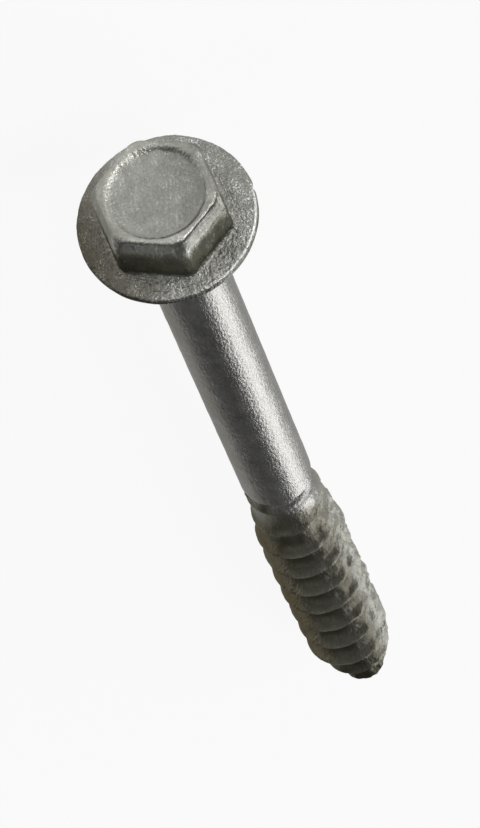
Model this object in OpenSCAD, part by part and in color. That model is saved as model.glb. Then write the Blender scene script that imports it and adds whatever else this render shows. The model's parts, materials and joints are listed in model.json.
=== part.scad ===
// Structural connector screw with a hex washer head, a plain shank, a coarse wood thread
// and a blunt point, cold formed from one length of steel wire.
// It lies as it comes to rest: on the rim of its washer and on two crests of its thread.
// Millimetres and degrees, +X towards the tip, +Z up, origin under the middle of the screw.

/* [Lengths] */
// Length from the underside of the washer to the tip
screw_length = 63.5; // [55:0.5:90]
// Length of the plain shank below the washer
shank_length = 32.3; // [20:0.1:38]
// Length of the tapered point
point_length = 7; // [5:0.5:9]

/* [Shank] */
// Diameter of the plain shank
shank_d = 4; // [3.8:0.05:4.3]
// Radius of the fillet between the shank and the washer
neck_fillet = 0.3; // [0.1:0.05:0.5]
// Length of the shoulder that steps down from the shank to the thread's root
shoulder_length = 0.5; // [0.3:0.1:1]

/* [Washer] */
// Diameter of the washer face
washer_d = 9.1; // [8.6:0.1:11]
// Thickness of the washer at its rim
rim_thickness = 0.42; // [0.36:0.02:0.6]
// Radius that rounds the rim's two edges
rim_round = 0.12; // [0.05:0.01:0.16]
// Height of the washer's top face where it meets the hexagon
washer_rise = 0.5; // [0.45:0.05:0.8]

/* [Hexagon] */
// Width across the flats, for a 1/4 in hex socket
hex_flats = 6.2; // [5.8:0.05:6.5]
// Width across the flats at the top of the tapered crown
crown_flats = 5.5; // [5.3:0.05:5.8]
// Height of the head above the washer's underside
head_height = 3.3; // [2.9:0.1:4]
// Height of the tapered crown
crown_height = 0.75; // [0.5:0.05:1.2]
// Turn of the hexagon about the screw's axis
hex_turn = 0.5; // [-30:0.5:30]
// How far the turned corners stand in from the sharp corners
corner_relief = 0.1; // [0.05:0.01:0.2]
// Diameter of the recess at its mouth
recess_d = 5.1; // [4.6:0.1:5.2]
// Diameter of the recess at its floor
recess_floor_d = 4.8; // [3.8:0.1:4.9]
// Depth of the recess
recess_depth = 0.25; // [0.2:0.05:0.6]

/* [Thread] */
// Diameter over the thread's crests
thread_d = 4.9; // [4.6:0.05:5.3]
// Diameter at the thread's root
root_d = 3.5; // [3.2:0.05:3.7]
// Distance from crest to crest
pitch = 2.8; // [2.4:0.1:3.4]
// Width of the crest
crest_width = 0.16; // [0.1:0.02:0.3]
// Width of the ridge halfway down its hollow flanks
flank_width = 0.62; // [0.4:0.02:0.8]
// Width of the ridge at its foot
foot_width = 1.3; // [0.9:0.05:1.6]
// Length over which the thread grows out of the shank
runout_length = 5; // [2:0.5:8]

/* [Point] */
// Diameter of the blunt end
tip_d = 1.2; // [0.6:0.1:1.8]
// Share of the full thread height that is left at the end
tip_ridge = 0.3; // [0.1:0.05:0.6]

/* [Hidden] */
// Sides of one turn of the thread
turn_sides = 32;
// Share of the ridge's height where its flanks are hollow
flank_share = 0.4;
// Depth to which solids that grow into each other overlap
overlap = 0.2;
washer_r = washer_d / 2;
shank_r = shank_d / 2;
thread_r = thread_d / 2;
root_r = root_d / 2;
tip_r = tip_d / 2;
// Radius of the turned corners, below the crown and at its top
corner_r = hex_flats / sqrt(3) - corner_relief;
crown_r = crown_flats / sqrt(3) - corner_relief;
crown_base = head_height - crown_height;

// The ridge's section: distance from its middle towards the head, and share of its height
ridge_section = [
    [foot_width / 2, 0],
    [flank_width / 2, flank_share],
    [crest_width / 2, 1],
    [-crest_width / 2, 1],
    [-flank_width / 2, flank_share],
    [-foot_width / 2, 0],
];
section_points = len(ridge_section);

// At rest two crests touch the table under the axis: one full, and the next one on the point,
// where the crests shrink by crest_taper for each millimetre
point_start = screw_length - point_length;
crest_taper = (root_r - tip_r + (1 - tip_ridge) * (thread_r - root_r)) / point_length;
rim_step = washer_r - thread_r;
crest_span = point_start - pitch + rim_round;
crest_lead = (sqrt(crest_span * crest_span + 4 * rim_step * pitch / crest_taper) - crest_span) / 2;
last_crest = point_start + crest_lead - pitch;
rest_tilt = atan2(crest_taper * crest_lead, pitch);
rest_height = thread_r * cos(rest_tilt) + last_crest * sin(rest_tilt);
// The two ends along X, which set the origin at the middle of the screw's length
head_end = -head_height * cos(rest_tilt) - crown_r * sin(rest_tilt);
tip_end = screw_length * cos(rest_tilt) + tip_r * sin(rest_tilt);
rest_middle = (head_end + tip_end) / 2;

// Whole turns lead from inside the shank to the last full crest, and more run past the end
buried_length = pitch + foot_width / 2 + overlap;
full_turns = ceil((last_crest - shank_length + buried_length) / pitch);
thread_top = pitch * full_turns - last_crest;
end_turns = ceil((screw_length - last_crest + foot_width) / pitch) + 1;
columns = (full_turns + end_turns) * turn_sides;

$fn = 96;

function share(value, whole) = min(1, max(0, value / whole));

// How much of the full size is left at a height along the point: all above it, none at its end
function point_share(z) = share(screw_length + z, point_length);

function core_r(z) = tip_r + (root_r - tip_r) * point_share(z);

function ridge_height(z) =
    (thread_r - root_r)
    * share(-shank_length - z, runout_length)
    * (tip_ridge + (1 - tip_ridge) * point_share(z));

// One corner of the ridge's section, carried down the right-hand helix
function thread_point(column, corner) =
    let (
        turn = column / turn_sides,
        middle = thread_top - pitch * turn,
        z = middle + corner[0],
        r = core_r(z) + corner[1] * ridge_height(middle),
        angle = 180 - 360 * turn
    )
    [r * cos(angle), r * sin(angle), z];

function index(column, corner) = column * section_points + corner;

// The corner that follows on the helical surface: the next one, or the first of the next turn
function next_index(column, corner) =
    corner < section_points - 1
        ? index(column, corner + 1)
        : index(column + turn_sides, 0);

// Thread, root and point as one helical surface, closed by a fan at either end
module thread() {
    last_corner = section_points - 1;
    shell_points = [
        for (column = [0:columns], corner = ridge_section) thread_point(column, corner)
    ];
    top_centre = len(shell_points);
    end_centre = top_centre + 1;
    end_z = thread_top - pitch * columns / turn_sides - foot_width / 2;

    shell_faces = [
        for (column = [0:columns - 1], corner = [0:last_corner])
            if (corner < last_corner || column < columns - turn_sides)
                let (
                    a = index(column, corner),
                    b = next_index(column, corner),
                    c = next_index(column + 1, corner),
                    d = index(column + 1, corner)
                )
                each [[a, b, c], [a, c, d]]
    ];
    top_faces = [
        for (column = [0:turn_sides - 1]) [index(column, 0), index(column + 1, 0), top_centre],
        for (corner = [0:last_corner]) [next_index(0, corner), index(0, corner), top_centre],
    ];
    end_faces = [
        for (column = [columns - turn_sides:columns - 1])
            [index(column + 1, last_corner), index(column, last_corner), end_centre],
        for (corner = [0:last_corner - 1])
            [index(columns, corner), index(columns, corner + 1), end_centre],
        [index(columns - turn_sides, last_corner), index(columns, 0), end_centre],
    ];

    difference() {
        polyhedron(
            points = concat(shell_points, [[0, 0, thread_top], [0, 0, end_z]]),
            faces = concat(shell_faces, top_faces, end_faces),
            convexity = 12
        );
        translate([0, 0, 2 * end_z - overlap])
            cylinder(h = overlap - screw_length - 2 * end_z, r = thread_d);
    }
}

// Half section of the washer, its neck fillet and the shank down to its shoulder
module turned_section() {
    difference() {
        union() {
            polygon([
                [0, -shank_length - shoulder_length],
                [root_r - overlap, -shank_length - shoulder_length],
                [shank_r, -shank_length],
                [shank_r, -neck_fillet],
                [shank_r + neck_fillet, 0],
                [washer_r - rim_round, 0],
                [washer_r - rim_round, rim_thickness],
                [corner_r, washer_rise],
                [0, washer_rise],
            ]);
            translate([washer_r - 2 * rim_round, rim_round])
                square([2 * rim_round, rim_thickness - 2 * rim_round]);
            for (z = [rim_round, rim_thickness - rim_round])
                translate([washer_r - rim_round, z])
                    circle(r = rim_round);
        }
        translate([shank_r + neck_fillet, -neck_fillet])
            circle(r = neck_fillet);
    }
}

// Half section of the turned shape that takes the sharp corners off the hexagon
module corner_section() {
    polygon([
        [0, 0],
        [corner_r, 0],
        [corner_r, crown_base],
        [crown_r, head_height],
        [0, head_height],
    ]);
}

// Sharp hexagon with its tapered crown
module sharp_hexagon() {
    cylinder(h = crown_base, r = hex_flats / sqrt(3), $fn = 6);
    translate([0, 0, crown_base])
        cylinder(h = crown_height, r1 = hex_flats / sqrt(3), r2 = crown_flats / sqrt(3), $fn = 6);
}

module hexagon() {
    difference() {
        intersection() {
            rotate(hex_turn)
                sharp_hexagon();
            rotate_extrude()
                corner_section();
        }
        translate([0, 0, head_height - recess_depth])
            cylinder(h = recess_depth, d1 = recess_floor_d, d2 = recess_d);
    }
}

module screw() {
    color("#9ea19b")
        translate([-rest_middle, 0, rest_height])
            rotate([0, rest_tilt - 90, 0]) {
                rotate_extrude()
                    turned_section();
                hexagon();
                thread();
            }
}

screw();
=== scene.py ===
import json
import math

import bpy
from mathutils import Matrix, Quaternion, Vector


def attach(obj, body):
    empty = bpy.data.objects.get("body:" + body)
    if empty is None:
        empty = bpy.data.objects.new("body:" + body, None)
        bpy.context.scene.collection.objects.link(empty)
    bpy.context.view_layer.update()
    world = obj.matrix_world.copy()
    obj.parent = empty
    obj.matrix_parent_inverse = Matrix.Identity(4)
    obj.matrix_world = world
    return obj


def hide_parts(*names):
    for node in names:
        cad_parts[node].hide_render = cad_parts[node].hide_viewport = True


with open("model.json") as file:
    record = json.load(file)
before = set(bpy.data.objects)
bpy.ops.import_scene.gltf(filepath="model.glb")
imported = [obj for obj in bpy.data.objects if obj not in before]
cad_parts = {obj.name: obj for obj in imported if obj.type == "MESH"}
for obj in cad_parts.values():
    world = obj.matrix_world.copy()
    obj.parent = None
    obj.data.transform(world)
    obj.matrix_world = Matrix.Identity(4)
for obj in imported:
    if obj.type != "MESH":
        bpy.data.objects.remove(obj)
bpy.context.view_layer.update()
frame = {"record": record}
mounts = {mount["name"]: mount for mount in frame["record"]["mounts"]}


# The head: the end of a steel wire upset cold into a hexagon on a round washer, with a shallow
# round recess in its top. It is drawn upright in millimetres, the washer's underside at height 0.
# One flat stands further in, the rim has a nick, the front has a dent, and zinc softens all edges.
washer_radius = 4.55
rim_thickness = 0.42
rim_round = 0.14
rim_round_end = 75
washer_rise = 0.5
neck_fillet = 0.3
stub_length = 1.2
hex_flats = 6.2
hex_turn = 0.5
uneven_flat = 2.83
head_height = 3.3
crown_flats = 5.5
crown_height = 0.75
corner_relief = 0.1
crown_edge = 0.12
recess_radius = 2.55
recess_floor_radius = 2.32
recess_depth = 0.18
recess_slope = 0.033
recess_turn = 22
nick_angle = 86.5
nick_radius = 0.3
nick_depth = 0.09
nick_cutter_height = 2
dent_place = (2.115, -2.253, 2.95)
dent_radius = 0.45
dent_depth = 0.15
dent_flatness = 0.55
head_lean = 0.09
overlap = 0.3
zinc_cell = 0.065
skin_passes = 3
soft_radius = 4.0
soft_radius_fade = 0.3
soft_height = 0.3
soft_height_fade = 0.2
soft_passes = 24
worn_reach = 0.6
worn_side = 0.8
worn_side_fade = 1.2
worn_passes = 110
round_steps = 120
merge_distance = 0.0005
shank_radius = mounts["plain_shank"]["dims"]["r_mm"]
corner_radius = hex_flats / math.sqrt(3) - corner_relief
crown_radius = crown_flats / math.sqrt(3) - corner_relief
crown_base = head_height - crown_height
crown_share = crown_flats / hex_flats


def share(value, whole):
    """How far a value has come along a whole, between 0 and 1."""
    return min(1, max(0, value / whole))


def arc(centre, radius, start, end, steps=6):
    """Points (radius, height) along a round of the outline, between two angles in degrees."""
    turns = [math.radians(start + (end - start) * step / steps) for step in range(steps + 1)]
    return [(centre[0] + radius * math.cos(a), centre[1] + radius * math.sin(a)) for a in turns]


def outline(name, points):
    """Draws a chain of edges through (radius, height) points and leaves it open in edit mode."""
    bpy.ops.object.select_all(action="DESELECT")
    bpy.ops.mesh.primitive_plane_add(size=1)
    bpy.context.object.name = name
    bpy.ops.object.mode_set(mode="EDIT")
    bpy.ops.mesh.merge(type="CENTER")
    bpy.ops.transform.translate(value=(points[0][0], 0, points[0][1]))
    for start, end in zip(points, points[1:]):
        step = (end[0] - start[0], 0, end[1] - start[1])
        bpy.ops.mesh.extrude_vertices_move(TRANSFORM_OT_translate={"value": step})
    bpy.ops.mesh.select_all(action="SELECT")


def turned(name, points):
    """Turns an outline round the screw's axis into a closed solid."""
    outline(name, points)
    bpy.ops.mesh.spin(steps=round_steps, angle=math.tau, center=(0, 0, 0), axis=(0, 0, 1))
    bpy.ops.mesh.select_all(action="SELECT")
    bpy.ops.mesh.remove_doubles(threshold=merge_distance)
    bpy.ops.mesh.normals_make_consistent(inside=False)
    bpy.ops.object.mode_set(mode="OBJECT")
    return bpy.context.object


def apply_modifier(piece, kind, **settings):
    """Adds a modifier to a piece and applies it."""
    bpy.ops.object.select_all(action="DESELECT")
    piece.select_set(True)
    bpy.context.view_layer.objects.active = piece
    modifier = piece.modifiers.new(kind.lower(), kind)
    for setting, value in settings.items():
        setattr(modifier, setting, value)
    bpy.ops.object.modifier_apply(modifier=modifier.name)


def combine(piece, operation, other):
    """Joins, cuts or trims a piece with another solid, which is used up."""
    apply_modifier(piece, "BOOLEAN", operation=operation, object=other, solver="EXACT")
    bpy.data.objects.remove(other)


def smooth(piece, passes, zone=""):
    """Smooths a piece, or one zone of it, in a number of passes."""
    apply_modifier(piece, "SMOOTH", factor=0.5, iterations=passes, vertex_group=zone)


washer = turned(
    "washer",
    [(0, -stub_length), (shank_radius, -stub_length)]
    + arc((shank_radius + neck_fillet, -neck_fillet), neck_fillet, 180, 90)
    + arc((washer_radius - rim_round, rim_round), rim_round, -90, 0)
    + arc((washer_radius - rim_round, rim_thickness - rim_round), rim_round, 0, rim_round_end)
    + [(corner_radius, washer_rise), (0, washer_rise)],
)

bpy.ops.object.select_all(action="DESELECT")
bpy.ops.mesh.primitive_cylinder_add(
    vertices=6,
    radius=hex_flats / math.sqrt(3),
    depth=crown_base,
    location=(0, 0, crown_base / 2),
    rotation=(0, 0, math.radians(hex_turn + 30)),
)
bpy.ops.object.transform_apply(location=True, rotation=True, scale=True)
hexagon = bpy.context.object
bpy.ops.object.mode_set(mode="EDIT")
bpy.ops.mesh.select_mode(type="FACE")
bpy.ops.mesh.select_all(action="DESELECT")
bpy.ops.object.mode_set(mode="OBJECT")
max(hexagon.data.polygons, key=lambda face: face.center.z).select = True
bpy.ops.object.mode_set(mode="EDIT")
bpy.ops.mesh.extrude_region_move(TRANSFORM_OT_translate={"value": (0, 0, crown_height)})
bpy.ops.transform.resize(value=(crown_share, crown_share, 1), center_override=(0, 0, head_height))
bpy.ops.mesh.select_mode(type="VERT")
bpy.ops.object.mode_set(mode="OBJECT")
corners = turned(
    "corners",
    [(0, 0), (corner_radius, 0), (corner_radius, crown_base)]
    + [(crown_radius, head_height - crown_edge), (crown_radius - crown_edge, head_height)]
    + [(0, head_height)],
)
combine(hexagon, "INTERSECT", corners)
flat_turn = math.radians(hex_turn + 90)
flat_side = Vector((math.cos(flat_turn), math.sin(flat_turn), 0))
bpy.ops.object.mode_set(mode="EDIT")
bpy.ops.mesh.select_all(action="SELECT")
bpy.ops.mesh.bisect(
    plane_co=flat_side * uneven_flat,
    plane_no=flat_side,
    use_fill=True,
    clear_outer=True,
)
bpy.ops.object.mode_set(mode="OBJECT")

recess = turned(
    "recess",
    [(0, head_height - recess_depth), (recess_floor_radius, head_height - recess_depth)]
    + [(recess_radius, head_height), (recess_radius, head_height + overlap)]
    + [(0, head_height + overlap)],
)
slope_x = recess_slope * math.cos(math.radians(recess_turn))
slope_y = recess_slope * math.sin(math.radians(recess_turn))
for vertex in recess.data.vertices:
    if vertex.co.z < head_height - recess_depth / 2:
        vertex.co.z -= slope_x * vertex.co.x + slope_y * vertex.co.y
combine(hexagon, "DIFFERENCE", recess)

bpy.ops.object.select_all(action="DESELECT")
face_turn = math.radians(hex_turn - 30)
dent_reach = dent_radius - dent_depth
bpy.ops.mesh.primitive_uv_sphere_add(
    segments=24,
    ring_count=12,
    radius=dent_radius,
    location=(
        dent_place[0] + dent_reach * math.cos(face_turn),
        dent_place[1] + dent_reach * math.sin(face_turn),
        dent_place[2],
    ),
)
bpy.context.object.scale.z = dent_flatness
combine(hexagon, "DIFFERENCE", bpy.context.object)

bpy.ops.object.select_all(action="DESELECT")
nick_place = washer_radius + nick_radius - nick_depth
nick_turn = math.radians(nick_angle)
bpy.ops.mesh.primitive_cylinder_add(
    vertices=24,
    radius=nick_radius,
    depth=nick_cutter_height,
    location=(nick_place * math.cos(nick_turn), nick_place * math.sin(nick_turn), 0),
)
combine(washer, "DIFFERENCE", bpy.context.object)

bpy.ops.object.select_all(action="DESELECT")
washer.select_set(True)
hexagon.select_set(True)
bpy.context.view_layer.objects.active = hexagon
bpy.ops.object.join()
head = hexagon
apply_modifier(head, "REMESH", mode="VOXEL", voxel_size=zinc_cell)
smooth(head, skin_passes)
softened = head.vertex_groups.new(name="softened")
for vertex in head.data.vertices:
    inside = share(soft_radius - vertex.co.xy.length, soft_radius_fade)
    above = share(vertex.co.z - soft_height, soft_height_fade)
    softened.add([vertex.index], inside * above, "REPLACE")
smooth(head, soft_passes, "softened")
worn = head.vertex_groups.new(name="worn")
for vertex in head.data.vertices:
    near = 1 - share(abs(vertex.co.z - crown_base), worn_reach)
    front = share(worn_side - vertex.co.y, worn_side_fade)
    worn.add([vertex.index], near * front, "REPLACE")
smooth(head, worn_passes, "worn")
head.vertex_groups.clear()
head.location.y = head_lean
bpy.ops.object.transform_apply(location=True, rotation=True, scale=True)


# The shank and thread: the wire below the head, left plain at first and then rolled between
# dies into a coarse right-hand thread, which grows out of a shoulder and dies away on a blunt
# point. Zinc raises its neck and fills its grooves on one side, and a small burr stands at its start.
screw_length = 63.5
shank_length = 32.3
shoulder_length = 0.5
shoulder_round = 0.3
point_length = 7
crest_zinc = 0.1
crest_radius = mounts["thread"]["dims"]["r_mm"] + crest_zinc
root_radius = 1.75
pitch = 2.8
last_crest = 54.162
crest_width = 0.16
crest_round = 0.04
flank_width = 0.62
flank_share = 0.4
upper_flank_share = 0.75
foot_width = 1.3
foot_share = 0.12
runout_length = 7.5
runout_curve = 1.5
neck_rise = 0.22
seam_offset = 0.45
seam_width = 0.6
seam_depth = 0.6
groove_fill = 0.27
fill_start = -0.8
fill_width = 2.4
tip_radius = 0.6
tip_ridge = 0.3
tip_round = 0.6
tip_dome = 0.9
thread_lean = 0.05
tip_lean = 0.42
tip_lean_curve = 3
thread_passes = 26
burr_radius = 0.27
burr_reach = 1.75
burr_depth = 0.95
ring_step = 0.25
thread_steps = 96
turns_below_crest = 4
thread_turns = 15


def ridge_side(side):
    """Points (radius, height) from the thread's root up one hollow flank of its ridge."""
    ridge = crest_radius - root_radius
    return [
        (root_radius, side * pitch / 2),
        (root_radius, side * (pitch + foot_width) / 4),
        (root_radius, side * foot_width / 2),
        (root_radius + foot_share * ridge, side * (foot_width + flank_width) / 4),
        (root_radius + flank_share * ridge, side * flank_width / 2),
        (root_radius + upper_flank_share * ridge, side * (flank_width + crest_width) / 4),
        (crest_radius - crest_round, side * crest_width / 2),
        (crest_radius, side * crest_width / 4),
    ]


def cut_flat(cut_height, keep_below):
    """Cuts the open mesh level at a height, closes the cut and keeps one side."""
    bpy.ops.mesh.select_all(action="SELECT")
    bpy.ops.mesh.bisect(
        plane_co=(0, 0, cut_height),
        plane_no=(0, 0, 1),
        use_fill=True,
        clear_outer=keep_below,
        clear_inner=not keep_below,
    )


ring_count = round((shank_length - stub_length - shoulder_round) / ring_step)
shank = turned(
    "shank",
    [(0, -stub_length)]
    + [(shank_radius, -stub_length - ring_step * ring) for ring in range(ring_count)]
    + arc((shank_radius - shoulder_round, shoulder_round - shank_length), shoulder_round, 0, -45)
    + [(root_radius - overlap, -shank_length - shoulder_length)]
    + [(0, -shank_length - shoulder_length)],
)

first_crest = pitch / 2 - last_crest - (turns_below_crest + 1) * pitch
outline(
    "thread",
    [
        (point_radius, first_crest + point_height)
        for point_radius, point_height in ridge_side(-1) + [(crest_radius, 0)] + ridge_side(1)[::-1]
    ],
)
bpy.ops.object.mode_set(mode="OBJECT")
thread = bpy.context.object
apply_modifier(
    thread,
    "SCREW",
    screw_offset=pitch,
    iterations=thread_turns,
    steps=thread_steps,
    render_steps=thread_steps,
    use_merge_vertices=True,
    merge_threshold=merge_distance,
)
for vertex in thread.data.vertices:
    drawn_radius = vertex.co.xy.length
    left = share(screw_length + vertex.co.z, point_length)
    grown = share(-shank_length - vertex.co.z, runout_length) ** runout_curve
    seam = 1 - share(abs(vertex.co.z + shank_length + seam_offset), seam_width)
    core = tip_radius + (root_radius - tip_radius) * left + neck_rise * (1 - grown) - seam_depth * seam
    ridge = (drawn_radius - root_radius) * grown * (tip_ridge + (1 - tip_ridge) * left)
    full_ridge = (crest_radius - root_radius) * grown * (tip_ridge + (1 - tip_ridge) * left)
    ridge += (full_ridge - ridge) * groove_fill * share(vertex.co.y - fill_start, fill_width)
    dome = share(screw_length + vertex.co.z, tip_round)
    vertex.co.xy *= (core + ridge) / drawn_radius * math.sqrt(1 - (1 - dome) ** 2 * tip_dome)
    way_down = share(-shank_length - vertex.co.z, screw_length - shank_length)
    vertex.co.y += thread_lean * grown + tip_lean * way_down ** tip_lean_curve
bpy.ops.object.mode_set(mode="EDIT")
bpy.ops.mesh.select_all(action="SELECT")
bpy.ops.mesh.remove_doubles(threshold=merge_distance)
cut_flat(-shank_length + overlap, keep_below=True)
cut_flat(-screw_length, keep_below=False)
bpy.ops.mesh.select_all(action="SELECT")
bpy.ops.mesh.normals_make_consistent(inside=False)
bpy.ops.object.mode_set(mode="OBJECT")
smooth(thread, thread_passes)
combine(shank, "UNION", thread)
bpy.ops.object.select_all(action="DESELECT")
bpy.ops.mesh.primitive_uv_sphere_add(
    segments=16,
    ring_count=10,
    radius=burr_radius,
    location=(0, -burr_reach, -shank_length - burr_depth),
)
combine(shank, "UNION", bpy.context.object)

head_cut = -stub_length + overlap
shank_cut = -stub_length - ring_step / 2
for piece, cut_height in ((head, head_cut), (shank, shank_cut)):
    bpy.ops.object.select_all(action="DESELECT")
    bpy.context.view_layer.objects.active = piece
    piece.select_set(True)
    bpy.ops.object.mode_set(mode="EDIT")
    bpy.ops.mesh.select_all(action="SELECT")
    bpy.ops.mesh.bisect(
        plane_co=(0, 0, cut_height),
        plane_no=(0, 0, 1),
        clear_outer=piece is shank,
        clear_inner=piece is head,
    )
    bpy.ops.object.mode_set(mode="OBJECT")
head.select_set(True)
bpy.ops.object.join()
screw = bpy.context.object
screw.name = "screw_body"
bpy.ops.object.mode_set(mode="EDIT")
bpy.ops.mesh.select_mode(type="EDGE")
bpy.ops.mesh.select_non_manifold(
    extend=False, use_wire=False, use_multi_face=False, use_non_contiguous=False, use_verts=False
)
bpy.ops.mesh.bridge_edge_loops()
bpy.ops.mesh.select_all(action="SELECT")
bpy.ops.mesh.normals_make_consistent(inside=False)
bpy.ops.object.mode_set(mode="OBJECT")


# The zinc: a skin hammered on cold in a tumbling barrel, which lies in lumps on the thread, in grains on
# the washer and in slow waves elsewhere.
# Its colour is dull and grey, olive on the thread and darker towards the tip, with painted shade on one
# side, over the crown, across the thread, in its grooves and along the shank's sides, and painted
# highlight on the top rim and one stretch of the washer's rim. The screw is then laid down to rest.
zinc_coat = {
    "head": {"grain_size": 1.2, "depth": 0.05},
    "shank": {"grain_size": 1.1, "depth": 0.03},
    "thread": {"grain_size": 0.42, "depth": 0.29},
    "flange": {"grain_size": 0.25, "depth": 0.055},
}
lumps_start = 1.0
lumps_fade = 2.5
head_zone = -0.6
head_zone_fade = 0.4
light_share = 0.2
heavy_start = -0.6
heavy_width = 2.2
flange_low = 0.2
flange_low_fade = 0.15
flange_high = 0.95
flange_high_fade = 0.2
hexagon_reach = 3.0
hexagon_fade = 0.3
millimetre = 0.001

for zone in zinc_coat:
    screw.vertex_groups.new(name=zone)
for vertex in screw.data.vertices:
    thread_part = share(-shank_length - lumps_start - vertex.co.z, lumps_fade)
    head_part = share(vertex.co.z - head_zone, head_zone_fade)
    heavy_part = light_share + (1 - light_share) * share(vertex.co.y - heavy_start, heavy_width)
    washer_part = share(vertex.co.z - flange_low, flange_low_fade)
    washer_part *= share(flange_high - vertex.co.z, flange_high_fade)
    off_hexagon = share(vertex.co.xy.length - hexagon_reach, hexagon_fade)
    weights = {
        "thread": thread_part * heavy_part,
        "head": head_part,
        "flange": washer_part * off_hexagon,
        "shank": 1 - max(thread_part, head_part),
    }
    for zone, weight in weights.items():
        screw.vertex_groups[zone].add([vertex.index], weight, "REPLACE")
for zone, coat in zinc_coat.items():
    lumps = bpy.data.textures.new(zone + "_zinc", "CLOUDS")
    lumps.noise_scale = coat["grain_size"]
    lumps.noise_depth = 1
    apply_modifier(
        screw,
        "DISPLACE",
        texture=lumps,
        texture_coords="LOCAL",
        vertex_group=zone,
        strength=coat["depth"],
        mid_level=0.5,
    )
screw.vertex_groups.clear()
bpy.ops.object.shade_smooth()

axis = Vector(mounts["plain_shank"]["axis"])
shank_middle = neck_fillet + mounts["plain_shank"]["dims"]["length_mm"] / 2
washer_centre = Vector(mounts["plain_shank"]["pos_m"]) - axis * shank_middle * millimetre
screw.scale = (millimetre, millimetre, millimetre)
screw.rotation_euler = (0, -math.asin(axis.z) - math.pi / 2, 0)
screw.location = washer_centre
bpy.context.view_layer.update()
placed = screw.matrix_world.copy()
bpy.ops.object.transform_apply(location=True, rotation=True, scale=True)


def add_node(tree, kind, feeds=None, **settings):
    """Adds a node with its settings and feeds its sockets with values or with other nodes."""
    node = tree.nodes.new("ShaderNode" + kind)
    for setting, value in settings.items():
        setattr(node, setting, value)
    for socket, feed in (feeds or {}).items():
        if isinstance(feed, bpy.types.NodeSocket):
            tree.links.new(feed, node.inputs[socket])
        else:
            node.inputs[socket].default_value = feed
    return node


def spread(tree, value, low, high, start, end):
    """Spreads a value that runs from low to high over the range from start to end."""
    limits = {"Value": value, "From Min": low, "From Max": high, "To Min": start, "To Max": end}
    return add_node(tree, "MapRange", limits).outputs["Result"]


def product(tree, first, *others):
    """Multiplies values."""
    for other in others:
        first = add_node(tree, "Math", {0: first, 1: other}, operation="MULTIPLY").outputs[0]
    return first


def noise(tree, where, scale, detail):
    """Cloudy pattern, the finer the larger its scale."""
    return add_node(tree, "TexNoise", {"Vector": where, "Scale": scale, "Detail": detail}).outputs["Fac"]


def blend(tree, share_of_second, first, second, kind="MIX"):
    """Blends two colours."""
    feeds = {0: share_of_second, 6: first, 7: second}
    return add_node(tree, "Mix", feeds, data_type="RGBA", blend_type=kind).outputs[2]


def tint(tree, mask, colour, shade):
    """Multiplies a colour by a shade where a mask lies."""
    return blend(tree, mask, colour, shade, "MULTIPLY")


# Colours of the zinc, and shades that multiply them: painted highlight on the washer's rim and the top
# rim, painted shade on the sides, shank edges, crown, thread and grooves
dark_zinc = (0.25, 0.246, 0.238, 1)
pale_zinc = (0.42, 0.417, 0.41, 1)
speck_zinc = (0.92, 0.92, 0.89, 1)
rim_painted_highlight = (0.85, 0.85, 0.83, 1)
side_painted_shade = (0.76, 0.735, 0.69, 1)
stain_shade = (0.92, 0.84, 0.75, 1)
edge_painted_shade = (0.7, 0.7, 0.69, 1)
head_shade = (1.02, 1.03, 0.975, 1)
flats_shade = (0.98, 1.0, 0.85, 1)
head_right_painted_shade = (0.77, 0.77, 0.765, 1)
crown_painted_shade = (0.84, 0.84, 0.835, 1)
lip_painted_highlight = (1.35, 1.35, 1.33, 1)
rim_shade = (0.3, 0.3, 0.27, 1)
head_side_painted_shade = (0.36, 0.345, 0.3, 1)
thread_shade = (1.12, 1.12, 1.03, 1)
olive_shade = (1.0, 0.975, 0.83, 1)
thread_middle_painted_shade = (0.5, 0.48, 0.425, 1)
thread_edge_painted_shade = (0.45, 0.44, 0.39, 1)
groove_painted_shade = (0.33, 0.315, 0.265, 1)
tip_shade = (0.5, 0.48, 0.42, 1)
grazing_tint = (0.55, 0.55, 0.53, 1)
drawn_out = (1, 1, 0.45)
relief_depth = 0.0001

zinc = bpy.data.materials.new("galvanised_steel")
zinc.use_nodes = True
tree = zinc.node_tree
surface = tree.nodes["Principled BSDF"]
upright_place = {
    "Vector": add_node(tree, "TexCoord").outputs["Object"],
    "Location": placed.translation,
    "Rotation": placed.to_euler(),
    "Scale": placed.to_scale(),
}
spot = add_node(tree, "Mapping", upright_place, vector_type="TEXTURE").outputs["Vector"]
sides = add_node(tree, "SeparateXYZ", {"Vector": spot}).outputs
across = sides["Y"]
level = sides["Z"]
flat_spot = add_node(tree, "CombineXYZ", {"X": sides["X"], "Y": across}).outputs["Vector"]
off_axis = add_node(tree, "VectorMath", {0: flat_spot}, operation="LENGTH").outputs["Value"]
drawn = add_node(tree, "VectorMath", {0: spot, 1: drawn_out}, operation="MULTIPLY").outputs["Vector"]
clouds = noise(tree, drawn, 1.3, 4)
stains = noise(tree, drawn, 0.5, 3)
grain = noise(tree, drawn, 7, 4)
specks = noise(tree, drawn, 10, 2)
pebbles = noise(tree, spot, 3, 1)

thread_start = spread(tree, across, -0.8, 0.8, -1.2, 0)
started = add_node(tree, "Math", {0: level, 1: thread_start}, operation="ADD").outputs[0]
ragged = add_node(tree, "Math", {0: clouds, 1: 2.5, 2: started}, operation="MULTIPLY_ADD").outputs[0]
on_thread = spread(tree, ragged, -shank_length - 0.3, -shank_length - 1.6, 0, 1)
on_head = spread(tree, level, -0.2, 0.2, 0, 1)
on_shank = spread(tree, level, -0.6, 0, 1, 0)

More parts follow.
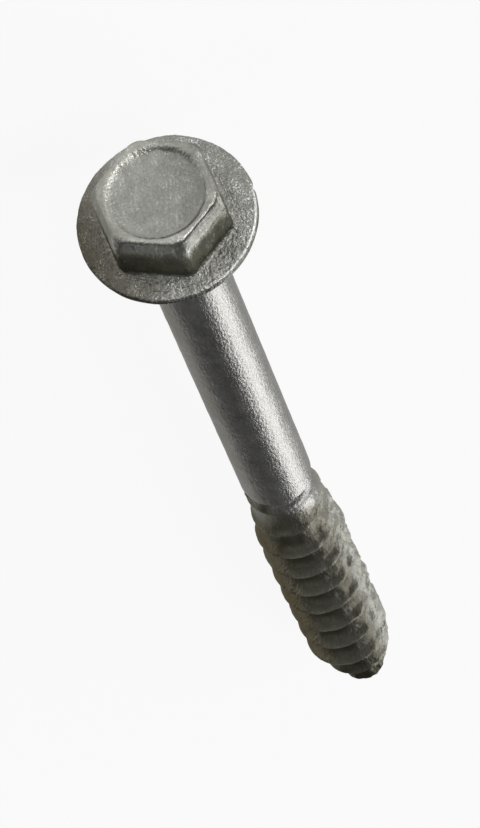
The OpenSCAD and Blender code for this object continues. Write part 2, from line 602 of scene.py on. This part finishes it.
tone = blend(tree, 0.5, spread(tree, clouds, 0.3, 0.7, 0, 1), spread(tree, grain, 0.3, 0.7, 0, 1))
plain_colour = blend(tree, tone, dark_zinc, pale_zinc)
# Painted shade: the washer and shank are darkened in colour on their side towards negative y.
far_side = spread(tree, across, -2.0, -0.9, 1, 0)
below_hexagon = spread(tree, level, washer_rise, 0.9, 1, 0)
side_shade_mask = product(tree, far_side, below_hexagon)
side_shaded_colour = tint(tree, side_shade_mask, plain_colour, side_painted_shade)
stain = spread(tree, stains, 0.45, 0.65, 0, 1)
stained = product(tree, stain, product(tree, on_shank, side_shade_mask))
warm_colour = tint(tree, stained, side_shaded_colour, stain_shade)
# Painted shade: the plain shank is darkened in colour along its two sides.
side_reach = add_node(tree, "Math", {0: across}, operation="ABSOLUTE").outputs[0]
on_limb = spread(tree, side_reach, 1.6, 1.95, 0, 1)
off_thread = spread(tree, on_thread, 0, 1, 1, 0)
shank_edge_shade_mask = product(tree, on_limb, product(tree, on_shank, off_thread))
shank_colour = tint(tree, shank_edge_shade_mask, warm_colour, edge_painted_shade)

head_colour = tint(tree, on_head, shank_colour, head_shade)
above_washer = spread(tree, level, washer_rise, 0.8, 0, 1)
below_crown = spread(tree, level, 2.3, 2.8, 1, 0)
flats_colour = tint(tree, product(tree, above_washer, below_crown), head_colour, flats_shade)
# Painted shade: the head is darkened in colour towards its right side (positive y).
right_side = spread(tree, across, 0.6, 3.0, 0, 1)
shaded_colour = tint(tree, product(tree, right_side, on_head), flats_colour, head_right_painted_shade)
# Painted shade: the crown is darkened in colour, more strongly on its right side.
on_crown = spread(tree, level, 2.4, 2.9, 0, 1)
crown_right = spread(tree, across, 0.2, 1.6, 0.5, 1)
crown_colour = tint(tree, product(tree, on_crown, crown_right), shaded_colour, crown_painted_shade)
speck = spread(tree, specks, 0.55, 0.64, 0, 0.9)
gathered = spread(tree, clouds, 0.46, 0.6, 0.1, 1)
rough_part = spread(tree, off_axis, 2.3, 4.3, 0.2, 1)
head_specks = product(tree, speck, gathered, rough_part, on_head)
speckled_colour = blend(tree, head_specks, crown_colour, speck_zinc)
# Painted highlight: the top rim round the recess is lightened in colour.
on_lip = spread(tree, level, 3.14, 3.26, 0, 1)
lip_highlighted_colour = tint(tree, on_lip, speckled_colour, lip_painted_highlight)

washer_middle = (0, head_lean, 0)
washer_spot = add_node(tree, "VectorMath", {0: flat_spot, 1: washer_middle}, operation="SUBTRACT")
washer_length = add_node(tree, "VectorMath", {0: washer_spot.outputs["Vector"]}, operation="LENGTH")
washer_reach = washer_length.outputs["Value"]
# Painted highlight: a near-white band of colour along the washer's rounded rim, on its upper right
# stretch.
edge_start = spread(tree, washer_reach, 4.36, 4.42, 0, 0.8)
edge_end = spread(tree, washer_reach, 4.47, 4.51, 1, 0)
highlight_upper_part = spread(tree, sides["X"], 0.1, 0.7, 0, 1)
highlight_right_part = spread(tree, across, 0.0, 1.8, 0, 1)
rim_highlight_mask = product(tree, product(tree, edge_start, edge_end), product(tree, highlight_upper_part, highlight_right_part))
rim_highlighted_colour = blend(tree, rim_highlight_mask, lip_highlighted_colour, rim_painted_highlight)
rim_side = spread(tree, washer_reach, 4.5, 4.54, 0, 0.75)
rim_colour = tint(tree, product(tree, rim_side, on_head), rim_highlighted_colour, rim_shade)
# Painted shade: the head is darkened in colour on its side towards negative y.
head_far_side = spread(tree, across, -4.2, -1.8, 1, 0)
head_side_shaded_colour = tint(tree, product(tree, head_far_side, on_head), rim_colour, head_side_painted_shade)

thread_colour = tint(tree, on_thread, head_side_shaded_colour, thread_shade)
old_left = spread(tree, across, -1.4, 0.4, 1, 0)
olive_colour = tint(tree, product(tree, old_left, on_thread), thread_colour, olive_shade)
# Painted shade: the thread is darkened in colour across its middle, most just short of its right side.
middle_shade_rise = spread(tree, across, -1.2, 1.1, 0.1, 1)
middle_shade_fall = spread(tree, across, 1.3, 2.2, 1, 0)
thread_middle_shaded_colour = tint(tree, product(tree, middle_shade_rise, middle_shade_fall, on_thread), olive_colour, thread_middle_painted_shade)
# Painted shade: the thread is darkened in colour along its edge towards negative y.
thread_far_edge = spread(tree, across, -2.1, -1.3, 1, 0)
thread_edge_shaded_colour = tint(tree, product(tree, thread_far_edge, on_thread), thread_middle_shaded_colour, thread_edge_painted_shade)
# Painted shade: the thread's grooves are darkened in colour, strongly on the left and middle and hardly
# at all on the right.
groove = spread(tree, off_axis, root_radius, 2.35, 1, 0)
groove_shade_share = spread(tree, across, 0.3, 1.7, 0.95, 0.05)
groove_shaded_colour = tint(tree, product(tree, groove, groove_shade_share, on_thread), thread_edge_shaded_colour, groove_painted_shade)
on_tip = spread(tree, level, -60.0, -62.2, 0, 1)
tip_colour = tint(tree, on_tip, groove_shaded_colour, tip_shade)
tree.links.new(tip_colour, surface.inputs["Base Color"])

tree.links.new(spread(tree, on_thread, 0, 1, 0.92, 0.75), surface.inputs["Metallic"])
surface.inputs["Specular Tint"].default_value = grazing_tint
rough = spread(tree, clouds, 0.3, 0.7, 0.27, 0.36)
dull_zinc = spread(tree, across, -0.4, 1.6, 0.05, 0.12)
dull = product(tree, on_thread, dull_zinc)
duller = add_node(tree, "Math", {0: rough, 1: dull}, operation="ADD").outputs[0]
tree.links.new(duller, surface.inputs["Roughness"])
head_grain = spread(tree, level, washer_rise, 0.9, 0.7, 0.35)
grain_share = spread(tree, on_head, 0, 1, 0.4, head_grain)
fine_zinc = product(tree, grain, grain_share)
heavy_side = spread(tree, across, -0.4, 1.6, 0.06, 0.46)
heavy_zinc = product(tree, pebbles, product(tree, heavy_side, on_thread))
relief = add_node(tree, "Math", {0: fine_zinc, 1: heavy_zinc}, operation="ADD").outputs[0]
bump = add_node(tree, "Bump", {"Height": relief, "Strength": 1, "Distance": relief_depth})
tree.links.new(bump.outputs["Normal"], surface.inputs["Normal"])
screw.data.materials.clear()
screw.data.materials.append(zinc)
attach(screw, "root")
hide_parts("screw")


# The floor: a wide pale sheet of board under the screw, nearly white to the eye and in the metal,
# with the screw's shadow left on it.
floor_width = 6
white_share = 0.92
bpy.ops.object.select_all(action="DESELECT")
bpy.ops.mesh.primitive_plane_add(size=floor_width)
floor = bpy.context.object
floor.name = "floor"
board = bpy.data.materials.new("pale_board")
board.use_nodes = True
tree = board.node_tree
paint = tree.nodes["Principled BSDF"]
paint.inputs["Base Color"].default_value = (0.9, 0.9, 0.9, 1)
paint.inputs["Roughness"].default_value = 0.9
path = add_node(tree, "LightPath").outputs
eye_rays = {0: path["Is Camera Ray"], 1: path["Is Glossy Ray"]}
eye = add_node(tree, "Math", eye_rays, operation="MAXIMUM").outputs[0]
clear_rays = {0: eye, 1: path["Is Transmission Ray"]}
clear = add_node(tree, "Math", clear_rays, operation="MAXIMUM").outputs[0]
seen = product(tree, clear, white_share)
glow = add_node(tree, "Emission").outputs[0]
sheet = add_node(tree, "MixShader", {0: seen, 1: paint.outputs[0], 2: glow}).outputs[0]
tree.links.new(sheet, tree.nodes["Material Output"].inputs["Surface"])
floor.data.materials.append(board)


# The light: five square soft boxes round the screw and a dim even surround. The box beyond the tip
# makes the bright streak on the shank, and the others light the screw from the sides and above.
surround_strength = 0.12


def soft_box(name, place, aim, width, power):
    """Stands a square soft box at a place in metres and turns it to an aim."""
    light = bpy.data.lights.new(name, "AREA")
    light.size = width
    light.energy = power
    stand = bpy.data.objects.new(name, light)
    bpy.context.scene.collection.objects.link(stand)
    stand.location = place
    stand.rotation_mode = "QUATERNION"
    stand.rotation_quaternion = (Vector(aim) - Vector(place)).to_track_quat("-Z", "Y")


soft_box("box_beyond_tip", place=(0.455, 0.205, 0.13), aim=(0, 0, 0), width=0.23, power=0.68)
soft_box("box_front_right", place=(-0.46, 0.18, 0.05), aim=(-0.03, 0, 0.008), width=0.16, power=0.68)
soft_box("box_right", place=(0.25, 1.1, 0.32), aim=(0, 0, 0), width=0.7, power=4.9)
soft_box("box_above", place=(0.42, 0.62, 0.92), aim=(0, 0, 0), width=0.6, power=2.8)
soft_box("box_left", place=(0.3, -0.8, 0.85), aim=(0, 0, 0), width=0.6, power=0.36)
world = bpy.data.worlds.new("surround")
world.use_nodes = True
background = world.node_tree.nodes["Background"]
background.inputs["Color"].default_value = (1, 1, 1, 1)
background.inputs["Strength"].default_value = surround_strength
bpy.context.scene.world = world
bpy.context.scene.view_settings.view_transform = "Standard"


# The camera: it looks down along the screw from above its head, about 27 cm off with a long lens,
# and is rolled so that the tip points down and to the right.
lens_length = 237.0
lens_distance = 0.26825
lens_angle = 27.534
nearest_seen = 0.01
aim_depth = 0.023566
aim_side = -0.00048
roll = 156.63
upright = placed.to_3x3().normalized() @ Vector((1, 0, 0))
camera_data = bpy.data.cameras.new("camera")
camera_data.lens = lens_length
camera_data.clip_start = nearest_seen
camera = bpy.data.objects.new("camera", camera_data)
bpy.context.scene.collection.objects.link(camera)
angle = math.radians(lens_angle)
camera.location = washer_centre + lens_distance * (math.sin(angle) * upright - math.cos(angle) * axis)
target = washer_centre + aim_depth * axis + Vector((0, aim_side, 0))
camera.rotation_mode = "QUATERNION"
turn = (target - camera.location).to_track_quat("-Z", "Y")
camera.rotation_quaternion = turn @ Quaternion((0, 0, 1), math.radians(roll))
bpy.context.scene.camera = camera
